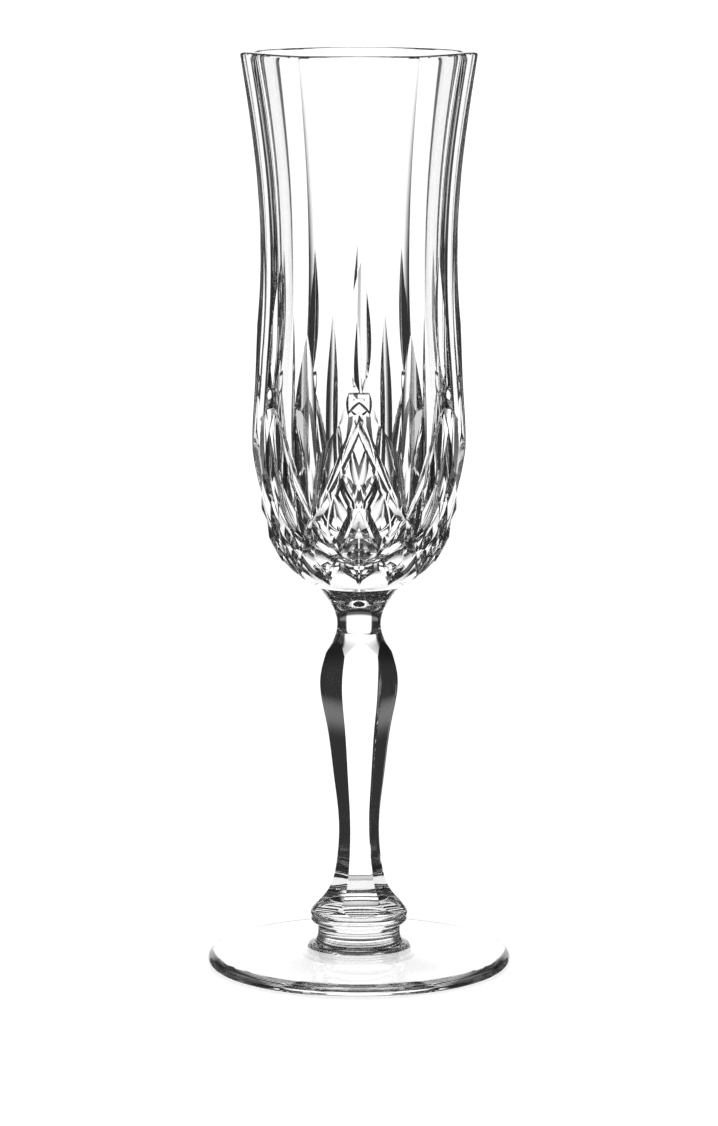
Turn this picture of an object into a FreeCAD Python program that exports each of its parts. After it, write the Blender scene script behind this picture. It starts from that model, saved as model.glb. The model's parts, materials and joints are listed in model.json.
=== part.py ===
"""Champagne flute of clear pressed crystal, in three pieces that are joined hot: bowl, stem and foot.

The flute stands on its foot. The origin is the centre of the foot's resting plane, +Z is up along
the axis, and +Y and -Y each face the middle of one of the bowl's six panels. Sizes are in mm.

The bowl is six-sided outside and round inside. Each panel carries a slender leaf cut, and below the
leaf a small dimple and a pointed arch of two slanting mitre cuts. Tall lancet cuts stand on the
corners between the panels, and a band of crossing cuts closes the bowl above a plain base ring. The stem is a
six-sided baluster between a round neck and a round base ring. The foot is a disc with a raised
button, and it rests on a flat outer land because its underside is hollowed.
"""
import FreeCAD, Part
import math
import os

from FreeCAD import Vector

# Driving dimensions
SIDES = 6
SECTOR = 360.0 / SIDES
RIM_Z = 210.0            # overall height
BOWL_WELD_Z = 88.5       # where the bowl's base meets the stem's neck
FOOT_WELD_Z = 9.3        # where the stem's base ring meets the foot's button
WELD_RADIUS = 9.6
FOOT_RADIUS = 35.0
LAND_INNER_RADIUS = 31.0 # the foot rests on a flat land between these two radii
LAND_OUTER_RADIUS = 33.8
HOLLOW_DEPTH = 1.8       # of the foot's underside, at the axis
STEM_TURN = 4.5          # the stem's facets stand this many degrees round from the bowl's panels
PANEL_SHARE = 0.91       # half width across the bowl's panels, as a share of the corner radius
LIP = 0.4                # the rim's polished rounding

# (radius, height) along each outline
BOWL_OUTLINE = [(10.2, BOWL_WELD_Z), (15.4, 91.8), (18.6, 95.5), (21.3, 101.0), (23.7, 109.0),
                (25.1, 118.0), (25.3, 124.0), (24.8, 132.0), (23.4, 146.0), (22.5, 158.0),
                (22.45, 168.0), (23.0, 180.0), (24.4, 193.0), (26.9, RIM_Z)]
CAVITY_OUTLINE = [(0.0, 94.5), (6.0, 95.2), (10.5, 97.2), (14.2, 101.2), (16.8, 107.0),
                  (18.2, 114.0), (18.7, 123.0), (18.5, 135.0), (18.1, 150.0), (18.2, 165.0),
                  (19.0, 180.0), (20.7, 195.0), (23.2, RIM_Z)]
STEM_ROUND = [(10.87, 11.1), (11.25, 11.6), (11.2, 12.2), (10.4, 13.4), (8.6, 15.6), (7.0, 18.6),
              (6.0, 24.0), (5.6, 34.0), (8.0, 52.0), (9.9, 67.0), (7.6, 72.8), (5.9, 75.8),
              (5.05, 79.5), (5.7, 82.6), (7.4, 85.6), (WELD_RADIUS, BOWL_WELD_Z)]
STEM_FLATS = [(13.0, 12.0), (10.0, 13.2), (8.9, 14.0), (7.3, 15.6), (5.6, 18.6), (4.55, 23.5),
              (4.05, 33.0), (5.0, 43.5), (6.6, 57.0), (7.75, 67.0), (6.6, 72.8), (5.9, 75.8),
              (5.5, 79.5)]

# The cuts of one panel. Each has its path, as (degrees from the panel's middle, height, depth),
# then the angles between its two flanks and the outward direction, its floor's width, and
# whether its mirror image is cut too. The first flank is on the side of falling angle.
CUTS = [
    # lancet
    ([(30, 148.5, 0.0), (30, 134.0, 2.1), (30, 98.0, 0.0)], 64, 64, 0.3, False),
    # one leg of the pointed arch
    ([(0, 130.2, 0.7), (15.6, 116.3, 1.7), (33, 104.7, 1.5), (54, 94.3, 0.7)], 58, 63, 0.7, True),
    # one stroke of the cross below the arch
    ([(8.8, 116.5, 0.4), (-8, 102.6, 1.1), (-22, 93.8, 0.6)], 56, 56, 0.6, True),
    # dimple
    ([(0, 134.2, 0.7), (0, 131.2, 0.8)], 28, 28, 4.6, False),
    # short cut at the panel's foot
    ([(0, 101.0, 0.3), (0, 92.0, 0.5)], 58, 58, 0.3, False),
]


def spline(points):
    """A smooth edge through (radius, height) points in the XZ plane."""
    curve = Part.BSplineCurve()
    curve.interpolate([Vector(r, 0, z) for r, z in points])
    return curve.toShape()


def line(a, b):
    return Part.makeLine(Vector(a[0], 0, a[1]), Vector(b[0], 0, b[1]))


def turned(edges):
    """The solid of revolution about Z whose half section is bounded by these edges."""
    face = Part.Face(Part.Wire(Part.sortEdges(edges)[0]))
    return face.revolve(Vector(0, 0, 0), Vector(0, 0, 1), 360)


def six_flats(outline):
    """A six-sided solid whose flats follow the outline: three slabs that cross on the axis."""
    reach = 60.0
    slabs = []
    for k in range(SIDES // 2):
        right = [Vector(r, -reach, z) for r, z in outline]
        left = [Vector(-r, -reach, z) for r, z in reversed(outline)]
        sides = []
        for points in (right, left):
            curve = Part.BSplineCurve()
            curve.interpolate(points)
            sides.append(curve.toShape())
        top = Part.makeLine(right[-1], left[0])
        bottom = Part.makeLine(left[-1], right[0])
        face = Part.Face(Part.Wire([sides[0], top, sides[1], bottom]))
        slab = face.extrude(Vector(0, 2 * reach, 0))
        slab.rotate(Vector(0, 0, 0), Vector(0, 0, 1), 90 + k * SECTOR)
        slabs.append(slab)
    body = slabs[0]
    for slab in slabs[1:]:
        body = body.common(slab)
    return body


def at(angle, radius, z):
    """The point at this angle from -Y, towards +X, at this radius and height."""
    a = math.radians(angle)
    return Vector(radius * math.sin(a), -radius * math.cos(a), z)


def outline_radius(z):
    """The bowl's corner radius at this height."""
    points = spline(BOWL_OUTLINE).discretize(200)
    above = next(i for i, p in enumerate(points) if p.z >= z)
    a, b = points[above - 1], points[above]
    return a.x + (b.x - a.x) * (z - a.z) / (b.z - a.z)


def on_bowl(angle, z, depth):
    """A point this deep below the panelled outside of the uncut bowl."""
    off = (angle + SECTOR / 2) % SECTOR - SECTOR / 2
    corner = outline_radius(z)
    return at(angle, min(corner, corner * PANEL_SHARE / math.cos(math.radians(off))) - depth, z)


def mitre(a, b, spread_a, spread_b, floor, overrun=3.0):
    """A straight V cutter whose narrow floor runs from a to b, and a little past both.

    spread_a and spread_b are the angles between its two flanks and the outward direction. Flank a
    is on the side of falling angle."""
    along = (b - a).normalize()
    middle = (a + b) * 0.5
    out = Vector(middle.x, middle.y, 0)
    out = (out - along * out.dot(along)).normalize()
    side = along.cross(out)
    if side.dot(Vector(-middle.y, middle.x, 0)) > 0:
        side = side * -1
    height = 9.0
    a = a - along * overrun
    b = b + along * overrun
    wide_a, wide_b = (height * math.tan(math.radians(s)) for s in (spread_a, spread_b))
    section = [a + side * (floor / 2), a + side * (floor / 2 + wide_a) + out * height,
               a - side * (floor / 2 + wide_b) + out * height, a - side * (floor / 2)]
    face = Part.Face(Part.makePolygon(section + section[:1]))
    return face.extrude(b - a)


def bowl_cutters():
    """The mitre cuts of one panel, each a chain of straight strokes of the wheel."""
    cutters = []
    for path, left, right, floor, mirrored in CUTS:
        for hand in (1, -1) if mirrored else (1,):
            points = [on_bowl(hand * angle, z, depth) for angle, z, depth in path]
            spreads = (left, right) if hand > 0 else (right, left)
            for a, b in zip(points, points[1:]):
                cutters.append(mitre(a, b, *spreads, floor))
    return cutters


def leaf():
    """The slender leaf cut on a panel: the mark of a large mitre wheel."""
    wheel, depth, z = 95.0, 1.3, 149.0
    panel = PANEL_SHARE * 22.9
    flank = math.radians(61)
    half = 8.0
    rim = Vector(0, -(panel - depth), z)
    section = [rim, rim + Vector(half * math.tan(flank), -half, 0),
               rim + Vector(-half * math.tan(flank), -half, 0)]
    face = Part.Face(Part.makePolygon(section + section[:1]))
    hub = Vector(0, -(panel - depth) - wheel, z)
    swing = 12.0
    face.rotate(hub, Vector(1, 0, 0), -swing)
    return face.revolve(hub, Vector(1, 0, 0), 2 * swing)


def make_bowl():
    low, high = BOWL_OUTLINE[0], BOWL_OUTLINE[-1]
    body = turned([spline(BOWL_OUTLINE), line(high, (0, RIM_Z)), line((0, RIM_Z), (0, BOWL_WELD_Z)),
                   line((0, BOWL_WELD_Z), low)])
    flats = [(r * PANEL_SHARE, z) for r, z in BOWL_OUTLINE]
    flats[0] = (low[0] * 1.02, low[1])
    flats[1] = (flats[1][0] * 1.06, flats[1][1])
    body = body.common(six_flats(flats))
    mouth = CAVITY_OUTLINE[-1]
    cavity = turned([spline(CAVITY_OUTLINE), line(mouth, (0, RIM_Z)), line((0, RIM_Z), CAVITY_OUTLINE[0])])
    body = body.cut(cavity)
    rim = [e for e in body.Edges if e.BoundBox.ZMin > RIM_Z - 0.001]
    body = body.makeFillet(LIP, rim)
    cuts = []
    for k in range(SIDES):
        for cutter in bowl_cutters() + [leaf()]:
            cutter.rotate(Vector(0, 0, 0), Vector(0, 0, 1), k * SECTOR)
            cuts.append(cutter)
    return body.cut(cuts)


def make_stem():
    lower = spline([(WELD_RADIUS, FOOT_WELD_Z), (10.7, 9.75), (11.1, 10.4), STEM_ROUND[0]])
    body = turned([spline(STEM_ROUND), line((WELD_RADIUS, BOWL_WELD_Z), (0, BOWL_WELD_Z)),
                   line((0, BOWL_WELD_Z), (0, FOOT_WELD_Z)), line((0, FOOT_WELD_Z), (WELD_RADIUS, FOOT_WELD_Z)),
                   lower])
    base_top, neck_low = STEM_FLATS[0][1], STEM_FLATS[-1][1]
    base = Part.makeCylinder(20, base_top - FOOT_WELD_Z, Vector(0, 0, FOOT_WELD_Z))
    neck = Part.makeCylinder(20, BOWL_WELD_Z - neck_low, Vector(0, 0, neck_low))
    parts = [body.common(zone) for zone in (base, six_flats(STEM_FLATS), neck)]
    stem = parts[0].fuse(parts[1:]).removeSplitter()
    stem.rotate(Vector(0, 0, 0), Vector(0, 0, 1), STEM_TURN)
    return stem


def make_foot():
    edge = spline([(LAND_OUTER_RADIUS, 0), (FOOT_RADIUS - 0.35, 0.35), (FOOT_RADIUS, 1.2)])
    shoulder = spline([(FOOT_RADIUS, 1.2), (FOOT_RADIUS - 0.4, 2.2), (FOOT_RADIUS - 1.6, 2.7)])
    top = spline([(FOOT_RADIUS - 1.6, 2.7), (26.0, 3.3), (18.0, 4.0), (13.5, 4.35), (11.2, 4.75),
                  (9.95, 5.7), (9.6, 7.2), (WELD_RADIUS, FOOT_WELD_Z)])
    hollow = spline([(LAND_INNER_RADIUS, 0), (26.0, 0.35), (18.0, 1.0), (11.0, 1.5), (0, HOLLOW_DEPTH)])
    return turned([line((LAND_INNER_RADIUS, 0), (LAND_OUTER_RADIUS, 0)), edge, shoulder, top,
                   line((WELD_RADIUS, FOOT_WELD_Z), (0, FOOT_WELD_Z)),
                   line((0, FOOT_WELD_Z), (0, HOLLOW_DEPTH)), hollow])


os.makedirs("parts", exist_ok=True)
for name, make in (("bowl", make_bowl), ("stem", make_stem), ("foot", make_foot)):
    shape = make()
    print(name, "valid", shape.isValid(), "solids", len(shape.Solids), "faces", len(shape.Faces),
          "volume_ml %.2f" % (shape.Volume / 1000))
    shape.exportStep("parts/%s.step" % name)
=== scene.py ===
# %% [markdown]
# # A cut-crystal champagne flute
#
# The flute is clear crystal in three pieces that a glassmaker joins hot: a bowl, a stem and a foot.
# We make each piece as the workshop does. The bowl starts as a round blank, gets six broad panels,
# and then a wheel grinds V-shaped grooves into it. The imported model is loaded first, because every
# size here is tied to it.

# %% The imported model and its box
import json
import math

import bmesh
import bpy
import numpy as np
from mathutils import Matrix, Vector

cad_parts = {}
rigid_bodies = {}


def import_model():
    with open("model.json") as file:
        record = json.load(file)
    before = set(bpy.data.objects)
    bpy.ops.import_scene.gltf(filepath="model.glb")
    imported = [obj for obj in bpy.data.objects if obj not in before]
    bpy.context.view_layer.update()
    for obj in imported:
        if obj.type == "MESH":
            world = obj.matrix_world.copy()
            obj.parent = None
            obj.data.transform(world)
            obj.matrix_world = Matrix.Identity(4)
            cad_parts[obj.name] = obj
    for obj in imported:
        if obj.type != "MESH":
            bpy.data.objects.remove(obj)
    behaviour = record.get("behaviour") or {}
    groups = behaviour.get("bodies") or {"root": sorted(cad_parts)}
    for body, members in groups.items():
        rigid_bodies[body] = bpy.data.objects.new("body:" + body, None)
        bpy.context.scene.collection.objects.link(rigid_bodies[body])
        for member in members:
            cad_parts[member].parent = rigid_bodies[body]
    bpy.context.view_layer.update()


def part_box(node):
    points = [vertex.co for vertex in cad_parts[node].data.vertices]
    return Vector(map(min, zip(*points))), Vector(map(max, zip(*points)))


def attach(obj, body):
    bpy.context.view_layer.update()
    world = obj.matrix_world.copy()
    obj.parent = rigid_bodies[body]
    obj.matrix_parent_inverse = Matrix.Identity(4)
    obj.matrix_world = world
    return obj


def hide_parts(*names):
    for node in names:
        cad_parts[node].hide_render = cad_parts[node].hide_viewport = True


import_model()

MM = 0.001
foot_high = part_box("foot")[1]
bowl_low, bowl_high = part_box("bowl")
RIM = bowl_high.z / MM          # the rim's height, in millimetres
BOWL_WELD = bowl_low.z / MM     # where the bowl sits on the stem
FOOT_WELD = foot_high.z / MM    # where the stem sits on the foot
print("rim %.1f mm, bowl weld %.1f mm, foot weld %.1f mm" % (RIM, BOWL_WELD, FOOT_WELD))

# %% [markdown]
# ## The camera
#
# Glassware is shot with a long lens from just above the rim's height, so that the bowl's sides stay
# nearly parallel and the foot opens into a flat oval. Here the lens is 147 mm, about a metre away.

# %% Camera
camera_data = bpy.data.cameras.new("camera")
camera_data.sensor_fit = "VERTICAL"
camera_data.sensor_height = 36.0
camera_data.lens = 147.1
camera = bpy.data.objects.new("camera", camera_data)
CAMERA_DISTANCE, CAMERA_HEIGHT = 1.041, 0.2555      # m
CAMERA_PITCH = 8.845                                # degrees downwards
camera.location = (0.0, -CAMERA_DISTANCE, CAMERA_HEIGHT)
camera.rotation_euler = (math.radians(90.0 - CAMERA_PITCH), 0.0, 0.0)
bpy.context.scene.collection.objects.link(camera)
bpy.context.scene.camera = camera
print("lens %.0f mm at %.2f m" % (camera_data.lens, CAMERA_DISTANCE))

# %% [markdown]
# ## Shader maths as expressions
#
# A node tree for a finish is a formula, so we write it as one. `Sock` wraps a socket, and each
# operator adds the Math node that it stands for. `node` adds any other node, and so does
# `add_node`, which also starts a tree that has no socket yet.


# %% The socket class
class Sock:
    """A node's output that can be used in Python expressions."""

    def __init__(self, tree, out):
        self.tree, self.out = tree, out

    def node(self, kind, settings=(), values=(), output=0):
        return add_node(self.tree, kind, settings, values, output)

    def maths(self, operation, a, b):
        return self.node("ShaderNodeMath", {"operation": operation}, {0: a, 1: b})

    def __add__(self, other): return self.maths("ADD", self, other)
    def __radd__(self, other): return self.maths("ADD", other, self)
    def __sub__(self, other): return self.maths("SUBTRACT", self, other)
    def __rsub__(self, other): return self.maths("SUBTRACT", other, self)
    def __mul__(self, other): return self.maths("MULTIPLY", self, other)
    def __rmul__(self, other): return self.maths("MULTIPLY", other, self)


def add_node(tree, kind, settings=(), values=(), output=0):
    """Adds a node: its settings first, then the values or links of its sockets."""
    made = tree.nodes.new(kind)
    for name, value in dict(settings).items():
        setattr(made, name, value)
    for name, value in dict(values).items():
        if isinstance(value, Sock):
            tree.links.new(value.out, made.inputs[name])
        else:
            made.inputs[name].default_value = value
    return Sock(tree, made.outputs[output]) if made.outputs else None


# %% [markdown]
# ## Clear crystal
#
# Crystal has no colour of its own: all that is seen is how it bends and mirrors what stands round
# it. What makes it look like glass and not like plastic is small: the surface is fire-polished, so
# it is very slightly wavy at the scale of a fingertip, and a few places are a shade less glossy.

# %% The crystal and the hidden joint
def new_material(name):
    made = bpy.data.materials.new(name)
    made.use_nodes = True
    made.node_tree.nodes.clear()
    return made, made.node_tree


crystal, tree = new_material("clear_crystal")
place = add_node(tree, "ShaderNodeTexCoord", output="Object")
ripple = add_node(tree, "ShaderNodeTexNoise", {}, {"Vector": place, "Scale": 45.0, "Detail": 1.0})
smear = add_node(tree, "ShaderNodeTexNoise", {}, {"Vector": place, "Scale": 140.0, "Detail": 3.0})
gloss = add_node(tree, "ShaderNodeMapRange", {},
                 {"Value": smear, "From Min": 0.55, "From Max": 0.8, "To Min": 0.0, "To Max": 0.02})
wave = add_node(tree, "ShaderNodeBump", {},
                {"Strength": 0.12, "Distance": 0.0004, "Height": ripple})
glass = add_node(tree, "ShaderNodeBsdfPrincipled", {},
                 {"Base Color": (1.0, 1.0, 1.0, 1.0), "Roughness": gloss, "IOR": 1.53,
                  "Transmission Weight": 1.0, "Normal": wave})
add_node(tree, "ShaderNodeOutputMaterial", {}, {"Surface": glass})

fused, tree = new_material("fused_joint")
through = add_node(tree, "ShaderNodeBsdfTransparent", {}, {"Color": (1.0, 1.0, 1.0, 1.0)})
add_node(tree, "ShaderNodeOutputMaterial", {}, {"Surface": through})
print("materials:", crystal.name, fused.name)

# %% [markdown]
# ## Outlines
#
# Each outline is a few (radius, height) points in millimetres, in the order in which the glass
# would be turned. A smooth curve through them is a natural cubic spline.


# %% Smooth outlines
def smooth_through(points, steps):
    """Points on the natural cubic spline through these points, evenly spread along it."""
    p = np.array(points, float)
    t = np.concatenate(([0.0], np.cumsum(np.linalg.norm(np.diff(p, axis=0), axis=1))))
    n, h = len(p), np.diff(t)
    a = np.eye(n)
    rhs = np.zeros_like(p)
    for i in range(1, n - 1):
        a[i, i - 1:i + 2] = h[i - 1], 2 * (h[i - 1] + h[i]), h[i]
        rhs[i] = 6 * ((p[i + 1] - p[i]) / h[i] - (p[i] - p[i - 1]) / h[i - 1])
    bend = np.linalg.solve(a, rhs)
    s = np.linspace(0.0, t[-1], steps)
    k = np.clip(np.searchsorted(t, s, side="right") - 1, 0, n - 2)
    left, right = (s - t[k])[:, None], (t[k + 1] - s)[:, None]
    span = h[k][:, None]
    return ((bend[k] * right ** 3 + bend[k + 1] * left ** 3) / (6 * span)
            + (p[k] / span - bend[k] * span / 6) * right
            + (p[k + 1] / span - bend[k + 1] * span / 6) * left)


BOWL_OUTLINE = [(10.2, BOWL_WELD), (15.4, 91.8), (18.6, 95.5), (21.3, 101.0), (23.7, 109.0),
                (25.1, 118.0), (25.3, 124.0), (24.8, 132.0), (23.4, 146.0), (22.5, 158.0),
                (22.45, 168.0), (23.0, 180.0), (24.4, 193.0), (26.9, RIM)]
CAVITY_OUTLINE = [(0.0, 94.5), (6.0, 95.2), (10.5, 97.2), (14.2, 101.2), (16.8, 107.0),
                  (18.2, 114.0), (18.7, 123.0), (18.5, 135.0), (18.1, 150.0), (18.2, 165.0),
                  (19.0, 180.0), (20.7, 195.0), (23.2, RIM)]
outer = smooth_through(BOWL_OUTLINE, 150)
cavity = smooth_through(CAVITY_OUTLINE, 90)
capacity = np.pi * np.trapz(cavity[:, 0] ** 2, cavity[:, 1]) / 1000
print("the bowl holds %.0f ml to the brim" % capacity)

# %% [markdown]
# ## The bowl's blank
#
# Outside, the bowl has six broad panels that meet in soft corners. Each panel is a shallow arc, and
# its share says how far its middle is pressed in: 1 would be round, and 0.866 flat. The panels fade
# into a plain round ring at the bottom. Inside, the bowl is round. Rings of points, one above the
# other, are the natural mesh for such a shape, because the corners then run along its edges.

# %% The panelled cross-section
SIDES = 6
SECTOR = 2 * math.pi / SIDES
CORNER_BLEND = 0.15             # mm, how softly two panels meet


def panel_arc(angle, corner, share):
    """Radius of one panel's arc at an angle from its middle."""
    half = corner * math.sin(SECTOR / 2)
    sagitta = max(share - math.cos(SECTOR / 2), 1e-4) * corner
    bend = (half ** 2 + sagitta ** 2) / (2 * sagitta)
    centre = share * corner - bend
    return centre * np.cos(angle) + np.sqrt(bend ** 2 - (centre * np.sin(angle)) ** 2)


def soft_min(a, b, blend):
    """The smaller of two values, with the crossing between them rounded."""
    share = np.maximum(blend - np.abs(a - b), 0.0) / blend
    return np.minimum(a, b) - share ** 2 * blend / 4


def panelled_radius(angle, corner, share):
    """Radius of the panelled outside at an angle from the middle of the front panel."""
    off = np.abs((angle + SECTOR / 2) % SECTOR - SECTOR / 2)
    return soft_min(panel_arc(off, corner, share), panel_arc(SECTOR - off, corner, share),
                    CORNER_BLEND)


def panel_share(height):
    """Radius at a panel's middle, as a share of the corner radius."""
    return np.interp(height, [BOWL_WELD, 91.0, 96.0, 104.0, 135.0, 165.0, RIM],
                     [1.0, 0.998, 0.97, 0.93, 0.918, 0.910, 0.91])


def point(angle, radius, height):
    """A point by its angle from the front, towards +X, in metres."""
    return (radius * np.sin(angle) * MM, -radius * np.cos(angle) * MM, height * MM)


# %% [markdown]
# The mesh helper takes the rings in order from the joint at the bottom, up the outside, over the
# lip and down the inside to its pole, and closes both ends.


# %% Rings into a closed mesh
def closed_rings(name, rings, poles):
    """A closed mesh from rings of points. The two poles close the first and the last ring."""
    count = len(rings[0])
    points = [p for ring in rings for p in ring] + list(poles)
    faces = []
    for r in range(len(rings) - 1):
        for c in range(count):
            d = (c + 1) % count
            faces.append((r * count + c, r * count + d, (r + 1) * count + d, (r + 1) * count + c))
    first, last = len(points) - 2, len(points) - 1
    top = (len(rings) - 1) * count
    for c in range(count):
        d = (c + 1) % count
        faces.append((first, d, c))
        faces.append((last, top + c, top + d))
    mesh = bpy.data.meshes.new(name)
    mesh.from_pydata(points, [], faces)
    shell = bmesh.new()
    shell.from_mesh(mesh)
    bmesh.ops.recalc_face_normals(shell, faces=shell.faces)
    shell.to_mesh(mesh)
    shell.free()
    mesh.shade_smooth()
    made = bpy.data.objects.new(name, mesh)
    bpy.context.scene.collection.objects.link(made)
    return made


# %% [markdown]
# The columns of the mesh stand closer together near the corners between the panels, where the
# surface bends most. The lip is half an oval between the outside and the cavity.

# %% The blank
PER_SIDE = 32                   # columns of the mesh on each panel


def corner_angles(per_side, crowd=0.72):
    """Angles round the axis that crowd towards the corners between the panels."""
    t = np.linspace(-1.0, 1.0, per_side + 1)[:-1]
    off = (np.sign(t) * np.abs(t) ** crowd) * SECTOR / 2
    return np.concatenate([off + k * SECTOR for k in range(SIDES)])


angles = corner_angles(PER_SIDE)
LIP = 0.55                      # mm, the height of the rounded lip
WALL_TOP = RIM - LIP - 0.1      # the walls' last rings stay below this
POLE_GAP = 0.4                  # mm, the smallest ring round the cavity's pole
rings = []
for radius, height in outer:
    if height < WALL_TOP:
        share = panel_share(height)
        rings.append([point(a, panelled_radius(a, radius, share), height) for a in angles])
edge_outer = panelled_radius(angles, BOWL_OUTLINE[-1][0] - 0.12, panel_share(RIM))
edge_inner = CAVITY_OUTLINE[-1][0] - 0.1
middle, half = (edge_outer + edge_inner) / 2, (edge_outer - edge_inner) / 2
for turn in np.linspace(0.0, math.pi, 9):
    rings.append([point(a, m + w * math.cos(turn), RIM - LIP + LIP * math.sin(turn))
                  for a, m, w in zip(angles, middle, half)])
for radius, height in cavity[::-1]:
    if height < WALL_TOP and radius > POLE_GAP:
        rings.append([point(a, radius, height) for a in angles])
blank = closed_rings("bowl_blank", rings,
                     [(0, 0, BOWL_WELD * MM), (0, 0, CAVITY_OUTLINE[0][1] * MM)])
print("blank:", len(blank.data.polygons), "faces")

# %% [markdown]
# ## The cuts
#
# A cutter holds the bowl against a mitre wheel, whose rim is a V, and draws it along a line. So a
# cut is a path of (angle, height, depth) points on the blank, and the two slopes of the V's sides.
# We sweep that V along the path as a closed bar, to be taken away from the blank.
#
# On each panel a slender leaf stands over a small square dimple. Below it two long cuts make a
# pointed arch, with a cross inside it and a short fan cut at its foot. A deep lancet stands on each
# corner between two panels, with a smaller fan cut at its foot.


# %% A V-shaped bar along a path
def surface(angle, height):
    """The blank's radius and the slope of its outline, at this angle and height."""
    corner = np.interp(height, outer[:, 1], outer[:, 0])
    rise = 1.0
    slope = (np.interp(height + rise, outer[:, 1], outer[:, 0])
             - np.interp(height - rise, outer[:, 1], outer[:, 0])) / (2 * rise)
    return float(panelled_radius(angle, corner, panel_share(height))), float(slope)


def groove(name, path, left, right, floor, steps=28, reach=7.0):
    """A V cutter along a path of (degrees, height, depth), with a floor of this half width.

    left and right are the angles between its sides and the outward direction, and left is on the
    side of falling angle."""
    smooth = smooth_through(path, steps)
    centre, out = [], []
    for degrees, height, depth in smooth:
        a = math.radians(degrees)
        radius, slope = surface(a, height)
        normal = Vector((math.sin(a), -math.cos(a), -slope)).normalized()
        centre.append(Vector(point(a, radius, height)) - normal * depth * MM)
        out.append(normal)
    rings = []
    for i, middle in enumerate(centre):
        along = (centre[min(i + 1, steps - 1)] - centre[max(i - 1, 0)]).normalized()
        side = out[i].cross(along).normalized()
        if side.dot(Vector((-middle.y, middle.x, 0.0))) < 0:
            side = -side
        up = side.cross(along).normalized()
        if up.dot(out[i]) < 0:
            up = -up
        wide_l, wide_r = (reach * math.tan(math.radians(s)) for s in (left, right))
        rings.append([middle - side * floor * MM, middle + side * floor * MM,
                      middle + side * (floor + wide_r) * MM + up * reach * MM,
                      middle - side * (floor + wide_l) * MM + up * reach * MM])
    poles = [sum((Vector(p) for p in ring), Vector()) / 4 for ring in (rings[0], rings[-1])]
    bar = closed_rings(name, rings, poles)
    bar.hide_render = True
    return bar


# %% The seven kinds of cut
# name: path of (degrees, height, depth), left side, right side, half floor, mirrored too
CUTS = {
    "lancet": ([(30, 150.0, -0.3), (30, 143.0, 0.8), (30, 134.0, 2.1), (30, 122.0, 2.4),
                (30, 110.0, 1.8), (30, 102.0, 0.9), (30, 96.0, -0.3)], 64, 64, 0.15, False),
    "arch": ([(-2.5, 132.0, 0.1), (0, 130.2, 0.7), (6.2, 125.5, 1.35), (11, 121.0, 1.6),
              (15.6, 116.3, 1.7), (20.7, 112.0, 1.7), (28.5, 107.0, 1.6), (38, 102.0, 1.4),
              (46, 97.8, 1.1), (54, 94.3, 0.7), (62, 91.0, -0.2)], 58, 63, 0.38, True),
    "cross": ([(10.5, 118.0, -0.3), (8.8, 116.5, 0.4), (0, 109.0, 1.1), (-8, 102.6, 1.1),
               (-14.5, 97.8, 1.0), (-22, 93.8, 0.6), (-29, 90.6, -0.2)], 56, 56, 0.3, True),
    "leaf": ([(1.5, 167.0, -0.3), (1.5, 158.0, 0.8), (1.5, 146.5, 1.55), (1.5, 138.0, 0.8),
              (1.5, 133.5, -0.3)], 66, 54, 0.05, False),
    "dimple": ([(0, 135.6, -0.2), (0, 134.5, 0.8), (0, 131.2, 0.85), (0, 129.4, -0.2)],
               28, 28, 2.3, False),
    "fan": ([(0, 103.0, -0.2), (0, 98.0, 0.9), (0, 94.0, 0.9), (0, 90.0, -0.2)],
            58, 58, 0.15, False),
    "small_fan": ([(30, 97.0, -0.2), (30, 94.0, 0.7), (30, 91.8, 0.6), (30, 89.8, -0.2)],
                  58, 58, 0.15, False),
}
cutters = []
for name, (path, left, right, floor, both) in CUTS.items():
    cutters.append(groove(name, path, left, right, floor))
    if both:
        mirrored = [(-a, z, d) for a, z, d in path]
        cutters.append(groove(name + "_mirrored", mirrored, right, left, floor))
print("cutters:", [c.name for c in cutters])

# %% [markdown]
# ## Cutting all six sides at once
#
# Every cut is repeated six times round the axis, which is a rule, so Geometry Nodes do it: each bar
# is copied round the axis, and the copies are taken away from the blank, one kind after another.


# %% The cutting tree
def copies_round_axis(tree, bar, count):
    """Copies of a bar round the Z axis, as one mesh."""
    add = tree.nodes.new
    link = tree.links.new
    info, points, index, turn, step, euler, place, real = (add(kind) for kind in (
        "GeometryNodeObjectInfo", "GeometryNodePoints", "GeometryNodeInputIndex", "ShaderNodeMath",
        "ShaderNodeMath", "ShaderNodeCombineXYZ", "GeometryNodeInstanceOnPoints",
        "GeometryNodeRealizeInstances"))
    step.operation, turn.operation = "DIVIDE", "MULTIPLY"
    step.inputs[0].default_value = 2 * math.pi
    link(count, step.inputs[1])
    link(index.outputs[0], turn.inputs[0])
    link(step.outputs[0], turn.inputs[1])
    link(turn.outputs[0], euler.inputs["Z"])
    link(count, points.inputs["Count"])
    link(bar, info.inputs["Object"])
    link(points.outputs[0], place.inputs["Points"])
    link(info.outputs["Geometry"], place.inputs["Instance"])
    link(euler.outputs[0], place.inputs["Rotation"])
    link(place.outputs[0], real.inputs[0])
    return real.outputs[0]


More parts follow.
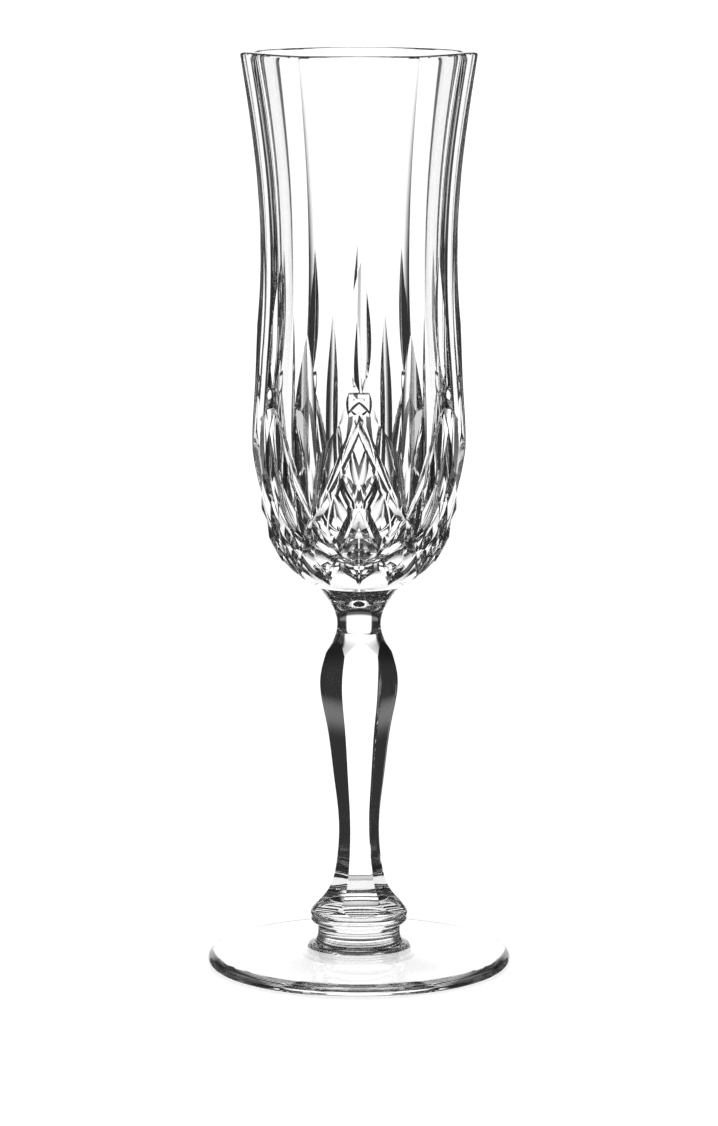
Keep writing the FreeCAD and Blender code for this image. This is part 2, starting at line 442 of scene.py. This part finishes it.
def cutting_tree(bars):
    """Takes six copies of each bar away from the mesh, then sets its material."""
    tree = bpy.data.node_groups.new("cut_round_the_axis", "GeometryNodeTree")
    face = tree.interface
    face.new_socket("Geometry", in_out="INPUT", socket_type="NodeSocketGeometry")
    face.new_socket("Sides", in_out="INPUT", socket_type="NodeSocketInt")
    for bar in bars:
        face.new_socket(bar.name, in_out="INPUT", socket_type="NodeSocketObject")
    face.new_socket("Material", in_out="INPUT", socket_type="NodeSocketMaterial")
    face.new_socket("Geometry", in_out="OUTPUT", socket_type="NodeSocketGeometry")
    given = tree.nodes.new("NodeGroupInput")
    result = tree.nodes.new("NodeGroupOutput")
    shape = given.outputs["Geometry"]
    for bar in bars:
        cut = tree.nodes.new("GeometryNodeMeshBoolean")
        cut.operation, cut.solver = "DIFFERENCE", "MANIFOLD"
        tree.links.new(shape, cut.inputs["Mesh 1"])
        tree.links.new(copies_round_axis(tree, given.outputs[bar.name], given.outputs["Sides"]),
                       cut.inputs["Mesh 2"])
        shape = cut.outputs["Mesh"]
    real = tree.nodes.new("GeometryNodeRealizeInstances")
    paint = tree.nodes.new("GeometryNodeSetMaterial")
    tree.links.new(shape, real.inputs[0])
    tree.links.new(real.outputs[0], paint.inputs["Geometry"])
    tree.links.new(given.outputs["Material"], paint.inputs["Material"])
    tree.links.new(paint.outputs[0], result.inputs["Geometry"])
    return tree


def set_inputs(modifier, values):
    """Sets a Geometry Nodes modifier's inputs through their sockets' identifiers."""
    ids = {s.name: s.identifier for s in modifier.node_group.interface.items_tree
           if s.in_out == "INPUT"}
    for name, value in values.items():
        modifier[ids[name]] = value


def as_plain_mesh(made, name):
    """A plain object with the mesh that a modified object evaluates to."""
    bpy.context.view_layer.update()
    evaluated = made.evaluated_get(bpy.context.evaluated_depsgraph_get())
    mesh = bpy.data.meshes.new_from_object(evaluated)
    mesh.name = name
    plain = bpy.data.objects.new(name, mesh)
    bpy.context.scene.collection.objects.link(plain)
    return plain


# %% Grind the bowl
grinder = blank.modifiers.new("cuts", "NODES")
grinder.node_group = cutting_tree(cutters)
set_inputs(grinder, {"Sides": SIDES, "Material": crystal, **{c.name: c for c in cutters}})
bowl = as_plain_mesh(blank, "crystal_bowl")
print("cut bowl:", len(bowl.data.polygons), "faces")
for made in [blank] + cutters:
    bpy.data.objects.remove(made)

# %% [markdown]
# ## Crisp edges and fused joints
#
# Polished cuts meet in crisp edges, while the blank between them is smooth, so edges are marked
# sharp by their angle. Where two pieces are melted together there is no surface left inside the
# glass. The two faces that touch there get a material that light passes straight through.

# %% Finishing a piece
CRISP = math.radians(14)


def finish_piece(made, node, joints):
    """Counts open edges, gives the materials and the sharp edges, and stands in for the CAD node.

    joints are the heights of the faces that are melted to a neighbour."""
    mesh = made.data
    shell = bmesh.new()
    shell.from_mesh(mesh)
    open_edges = sum(1 for e in shell.edges if len(e.link_faces) != 2)
    shell.free()
    mesh.materials.clear()
    mesh.materials.append(crystal)
    mesh.materials.append(fused)
    for face in mesh.polygons:
        level = abs(face.normal.z) > 0.999
        joined = level and any(abs(face.center.z - z * MM) < 1e-5 for z in joints)
        face.material_index = 1 if joined else 0
    mesh.shade_smooth()
    mesh.set_sharp_from_angle(angle=CRISP)
    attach(made, "root")
    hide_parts(node)
    print("%s: %d faces, %d open edges, %d joint faces" % (
        made.name, len(mesh.polygons), open_edges, sum(f.material_index for f in mesh.polygons)))


finish_piece(bowl, "bowl", [BOWL_WELD])

# %% [markdown]
# ## The stem
#
# The stem is turned round and then ground flat on six sides. Where the flats run out, at the
# shoulder and above the base ring, they end in curved scallops. Those curves come by themselves
# when a turned shape and a six-sided one are intersected.

# %% Turned stem and its six flats
STEM_TURN = math.radians(4.5)
STEM_ROUND = [(10.87, 11.1), (11.25, 11.6), (11.2, 12.2), (10.4, 13.4), (8.6, 15.6), (7.0, 18.6),
              (6.0, 24.0), (5.6, 34.0), (8.0, 52.0), (9.9, 67.0), (7.6, 72.8), (5.9, 75.8),
              (5.05, 79.5), (5.7, 82.6), (7.4, 85.6), (9.6, BOWL_WELD)]
STEM_FLATS = [(13.0, 12.0), (10.0, 13.2), (8.9, 14.0), (7.3, 15.6), (5.6, 18.6), (4.55, 23.5),
              (4.05, 33.0), (5.0, 43.5), (6.6, 57.0), (7.75, 67.0), (6.6, 72.8), (5.9, 75.8),
              (5.5, 79.5)]
STEM_RINGS = [(9.6, FOOT_WELD), (10.7, 9.75), (11.1, 10.4), (10.85, 11.05)]
rings = smooth_through(STEM_RINGS, 14)
turned = [tuple(p) for p in rings] + [tuple(p) for p in smooth_through(STEM_ROUND, 160)]
round_angles = np.linspace(0.0, 2 * math.pi, SIDES * PER_SIDE, endpoint=False)
lathe = closed_rings("stem_turned", [[point(a, r, z) for a in round_angles] for r, z in turned],
                     [(0, 0, FOOT_WELD * MM), (0, 0, BOWL_WELD * MM)])
print("turned stem:", len(lathe.data.polygons), "faces")

# %% Six flats, and the stem
FLAT_BLEND = 0.12               # mm, how softly two flats meet
CLEAR = 40.0                    # mm, well outside the stem, where it stays round
PAST = 2.0                      # mm, how far the six-sided shape reaches past the stem's ends
stem_flats = smooth_through(STEM_FLATS, 120)


def flat_radius(angle, apothem):
    """Radius of a six-sided section at an angle, from the distance of its flats."""
    off = np.abs((angle + SECTOR / 2) % SECTOR - SECTOR / 2)
    return soft_min(apothem / np.cos(off), apothem / np.cos(SECTOR - off), FLAT_BLEND)


bottom, top = FOOT_WELD - PAST, BOWL_WELD + PAST
six_sided = ([(CLEAR, bottom), (CLEAR, 11.8)] + [tuple(p) for p in stem_flats]
             + [(CLEAR, 80.0), (CLEAR, top)])
flat_angles = corner_angles(PER_SIDE // 2)
hexagon = closed_rings("stem_flats",
                       [[point(a, flat_radius(a, r), z) for a in flat_angles] for r, z in six_sided],
                       [(0, 0, bottom * MM), (0, 0, top * MM)])
trim = lathe.modifiers.new("flats", "BOOLEAN")
trim.operation, trim.object, trim.solver = "INTERSECT", hexagon, "MANIFOLD"
stem = as_plain_mesh(lathe, "crystal_stem")
stem.data.transform(Matrix.Rotation(STEM_TURN, 4, "Z"))
for made in (lathe, hexagon):
    bpy.data.objects.remove(made)
finish_piece(stem, "stem", [FOOT_WELD, BOWL_WELD])

# %% [markdown]
# ## The foot
#
# The foot is a disc that rises gently to a button. It is turned in one go, and it is slightly
# hollow underneath, so that it stands on its outer land and doesn't rock.

# %% Turned foot
FOOT_RADIUS = foot_high.x / MM
edge = smooth_through([(33.8, 0.0), (34.65, 0.35), (35.0, 1.2), (34.6, 2.2), (33.4, 2.7)], 14)
edge[:, 1] = np.maximum(edge[:, 1], 0.0)
edge[:, 0] = np.minimum(edge[:, 0], FOOT_RADIUS)
top = smooth_through([(33.4, 2.7), (26.0, 3.3), (18.0, 4.0), (13.5, 4.35), (11.2, 4.75),
                      (9.95, 5.7), (9.6, 7.2), (9.6, FOOT_WELD)], 60)
HOLLOW = 1.8                    # mm, the hollow's depth at the axis
under = smooth_through([(31.0, 0.0), (26.0, 0.35), (18.0, 1.0), (11.0, 1.5), (0.5, HOLLOW)], 24)
foot_line = [tuple(p) for p in (*under[::-1], *edge, *top[1:])]
foot = closed_rings("crystal_foot", [[point(a, r, z) for a in round_angles] for r, z in foot_line],
                    [(0, 0, HOLLOW * MM), (0, 0, FOOT_WELD * MM)])
finish_piece(foot, "foot", [FOOT_WELD])

# %% [markdown]
# ## The studio floor
#
# Clear glass shows whatever stands round it, so its looks are made with the lighting. The floor is
# plain and pale. The glass neither refracts nor mirrors it, because a white floor seen through the
# foot would wash out the dark line of its edge. Only a small lit disc under the button is seen
# through the glass, as the light that comes up through a pale table.

# %% Floor
WHITE = (1.0, 1.0, 1.0, 1.0)


def stage_material(name, strength):
    """Plain white light for a part of the studio."""
    made, tree = new_material(name)
    glow = add_node(tree, "ShaderNodeEmission", {}, {"Color": WHITE, "Strength": strength})
    add_node(tree, "ShaderNodeOutputMaterial", {}, {"Surface": glow})
    return made


def flat_sheet(name, corners, material):
    """A flat face of the studio, which isn't part of the flute."""
    mesh = bpy.data.meshes.new(name)
    mesh.from_pydata(corners, [], [tuple(range(len(corners)))])
    mesh.materials.append(material)
    made = bpy.data.objects.new(name, mesh)
    bpy.context.scene.collection.objects.link(made)
    return made


floor_paint, tree = new_material("pale_floor")
paper = add_node(tree, "ShaderNodeBsdfPrincipled", {},
                 {"Base Color": (0.9, 0.9, 0.9, 1.0), "Roughness": 0.9,
                  "Emission Color": WHITE, "Emission Strength": 0.8})
add_node(tree, "ShaderNodeOutputMaterial", {}, {"Surface": paper})
FLOOR_HALF, FLOOR_DEPTH = 0.8, 0.0003       # m, half its width, and how far it is below the foot
floor_corners = [(x * FLOOR_HALF, y * FLOOR_HALF, -FLOOR_DEPTH)
                 for x, y in ((-1, -1), (1, -1), (1, 1), (-1, 1))]
floor_sheet = flat_sheet("floor", floor_corners, floor_paint)
floor_sheet.visible_transmission = False
floor_sheet.visible_glossy = False
DISC_RADIUS, DISC_DEPTH = 0.013, 0.0001     # m
disc_light = stage_material("lit_floor", 1.0)
disc_edge = [(DISC_RADIUS * math.sin(t), DISC_RADIUS * math.cos(t), -DISC_DEPTH)
             for t in np.linspace(0.0, 2 * math.pi, 48, endpoint=False)]
flat_sheet("floor_under_the_button", disc_edge, disc_light)
for made in (floor_paint, disc_light):
    made.cycles.emission_sampling = "NONE"
print("floor %.1f m wide, lit disc %.0f mm across" % (2 * FLOOR_HALF, 2 * DISC_RADIUS / MM))

# %% [markdown]
# ## The bright field
#
# Clear glass is lit from behind: a bright field stands behind it, and what is dark to the left and
# right draws its edges. The field's sides fade softly, and above the stem's height it has dim
# wings. It rides with the camera, as it would if the flute stood on a turntable.

# %% Bright field
FIELD_DISTANCE = CAMERA_DISTANCE + 1.3
FIELD_HALF, FIELD_LOW, FIELD_HIGH = 1.8, -1.1, 0.9
FIELD_LIGHT = 1.3

field_light, tree = new_material("bright_field")
on_field = add_node(tree, "ShaderNodeTexCoord", output="Object")
across, upward = (add_node(tree, "ShaderNodeSeparateXYZ", {}, {0: on_field}, output=axis)
                  for axis in "XY")


def fade(value, start, end, low, high):
    """A soft step of a value, from low to high."""
    return add_node(tree, "ShaderNodeMapRange", {"interpolation_type": "SMOOTHSTEP"},
                    {"Value": value, "From Min": start, "From Max": end,
                     "To Min": low, "To Max": high})


aside = across.maths("ABSOLUTE", across, 0.0)
core = fade(aside, 0.52, 0.68, 1.0, 0.0)
wings = fade(aside, 1.35, 1.75, 1.0, 0.0) * fade(upward, 0.12, 0.34, 0.025, 0.17)
height_share = fade(upward, -1.0, -0.45, 0.35, 1.0) * fade(upward, 0.45, 0.7, 1.0, 0.1)
glow = FIELD_LIGHT * height_share * (core + wings * (1 - core))
grey = add_node(tree, "ShaderNodeCombineColor", {}, {0: glow, 1: glow, 2: glow})
lamp = add_node(tree, "ShaderNodeEmission", {}, {"Color": grey, "Strength": 1.0})
add_node(tree, "ShaderNodeOutputMaterial", {}, {"Surface": lamp})
field_corners = [(-FIELD_HALF, FIELD_LOW, 0.0), (FIELD_HALF, FIELD_LOW, 0.0),
                 (FIELD_HALF, FIELD_HIGH, 0.0), (-FIELD_HALF, FIELD_HIGH, 0.0)]
field = flat_sheet("bright_field", field_corners, field_light)
field.location = (0.0, 0.0, -FIELD_DISTANCE)
field.parent = camera
field.visible_camera = False
print("bright field %.1f m behind the flute" % (FIELD_DISTANCE - CAMERA_DISTANCE))

# %% [markdown]
# ## Side panels and the light above
#
# A dim panel at each side lightens the glass near the bowl's outline, which would be black
# otherwise. The panels ride with the camera too. A small soft light above gives the foot its shade
# on the floor, and the camera sees plain white where there is nothing else.

# %% Side panels, overhead light and surroundings
panel_light = stage_material("side_panels", 0.7)
PANEL_ASIDE = 1.3               # m
for side, name in ((-1, "side_panel_left"), (1, "side_panel_right")):
    panel = flat_sheet(name, [(side * PANEL_ASIDE, y, z - CAMERA_DISTANCE) for y, z in (
        (-0.1, -0.35), (0.7, -0.35), (0.7, 0.5), (-0.1, 0.5))], panel_light)
    panel.parent = camera
    panel.visible_camera = False

lamp_data = bpy.data.lights.new("overhead", "AREA")
lamp_data.shape, lamp_data.size, lamp_data.size_y = "RECTANGLE", 0.7, 0.5
lamp_data.energy = 3.0
overhead = bpy.data.objects.new("overhead", lamp_data)
overhead.location = (0.0, 0.0, 1.0)
overhead.visible_transmission = False
bpy.context.scene.collection.objects.link(overhead)

world = bpy.data.worlds.new("studio")
world.use_nodes = True
air = world.node_tree
air.nodes.clear()
seen = add_node(air, "ShaderNodeLightPath", output="Is Camera Ray")
dark = add_node(air, "ShaderNodeBackground", {}, {"Color": (0.028, 0.028, 0.028, 1.0)})
pale = add_node(air, "ShaderNodeBackground", {}, {"Color": WHITE, "Strength": 1.2})
either = add_node(air, "ShaderNodeMixShader", {}, {0: seen, 1: dark, 2: pale})
add_node(air, "ShaderNodeOutputWorld", {}, {"Surface": either})
bpy.context.scene.world = world
print("studio:", [o.name for o in camera.children], overhead.name)

# %% [markdown]
# ## Light paths
#
# A ray crosses many faces of cut glass before it comes out, so it may bend and bounce often. White
# stays white in the Standard view, as on a product page.

# %% Light paths
scene = bpy.context.scene
scene.view_settings.view_transform = "Standard"
scene.cycles.max_bounces = 32
scene.cycles.transmission_bounces = 32
scene.cycles.glossy_bounces = 24
scene.cycles.transparent_max_bounces = 32
scene.cycles.caustics_refractive = True
scene.cycles.caustics_reflective = True
print("up to", scene.cycles.max_bounces, "bounces")

# %% [markdown]
# ## The last update
#
# The scene is brought up to date once more, so that every piece stands where it was placed. The
# finished flute has to fill the imported model's box and stay inside it.

# %% Bring the scene up to date
bpy.context.view_layer.update()
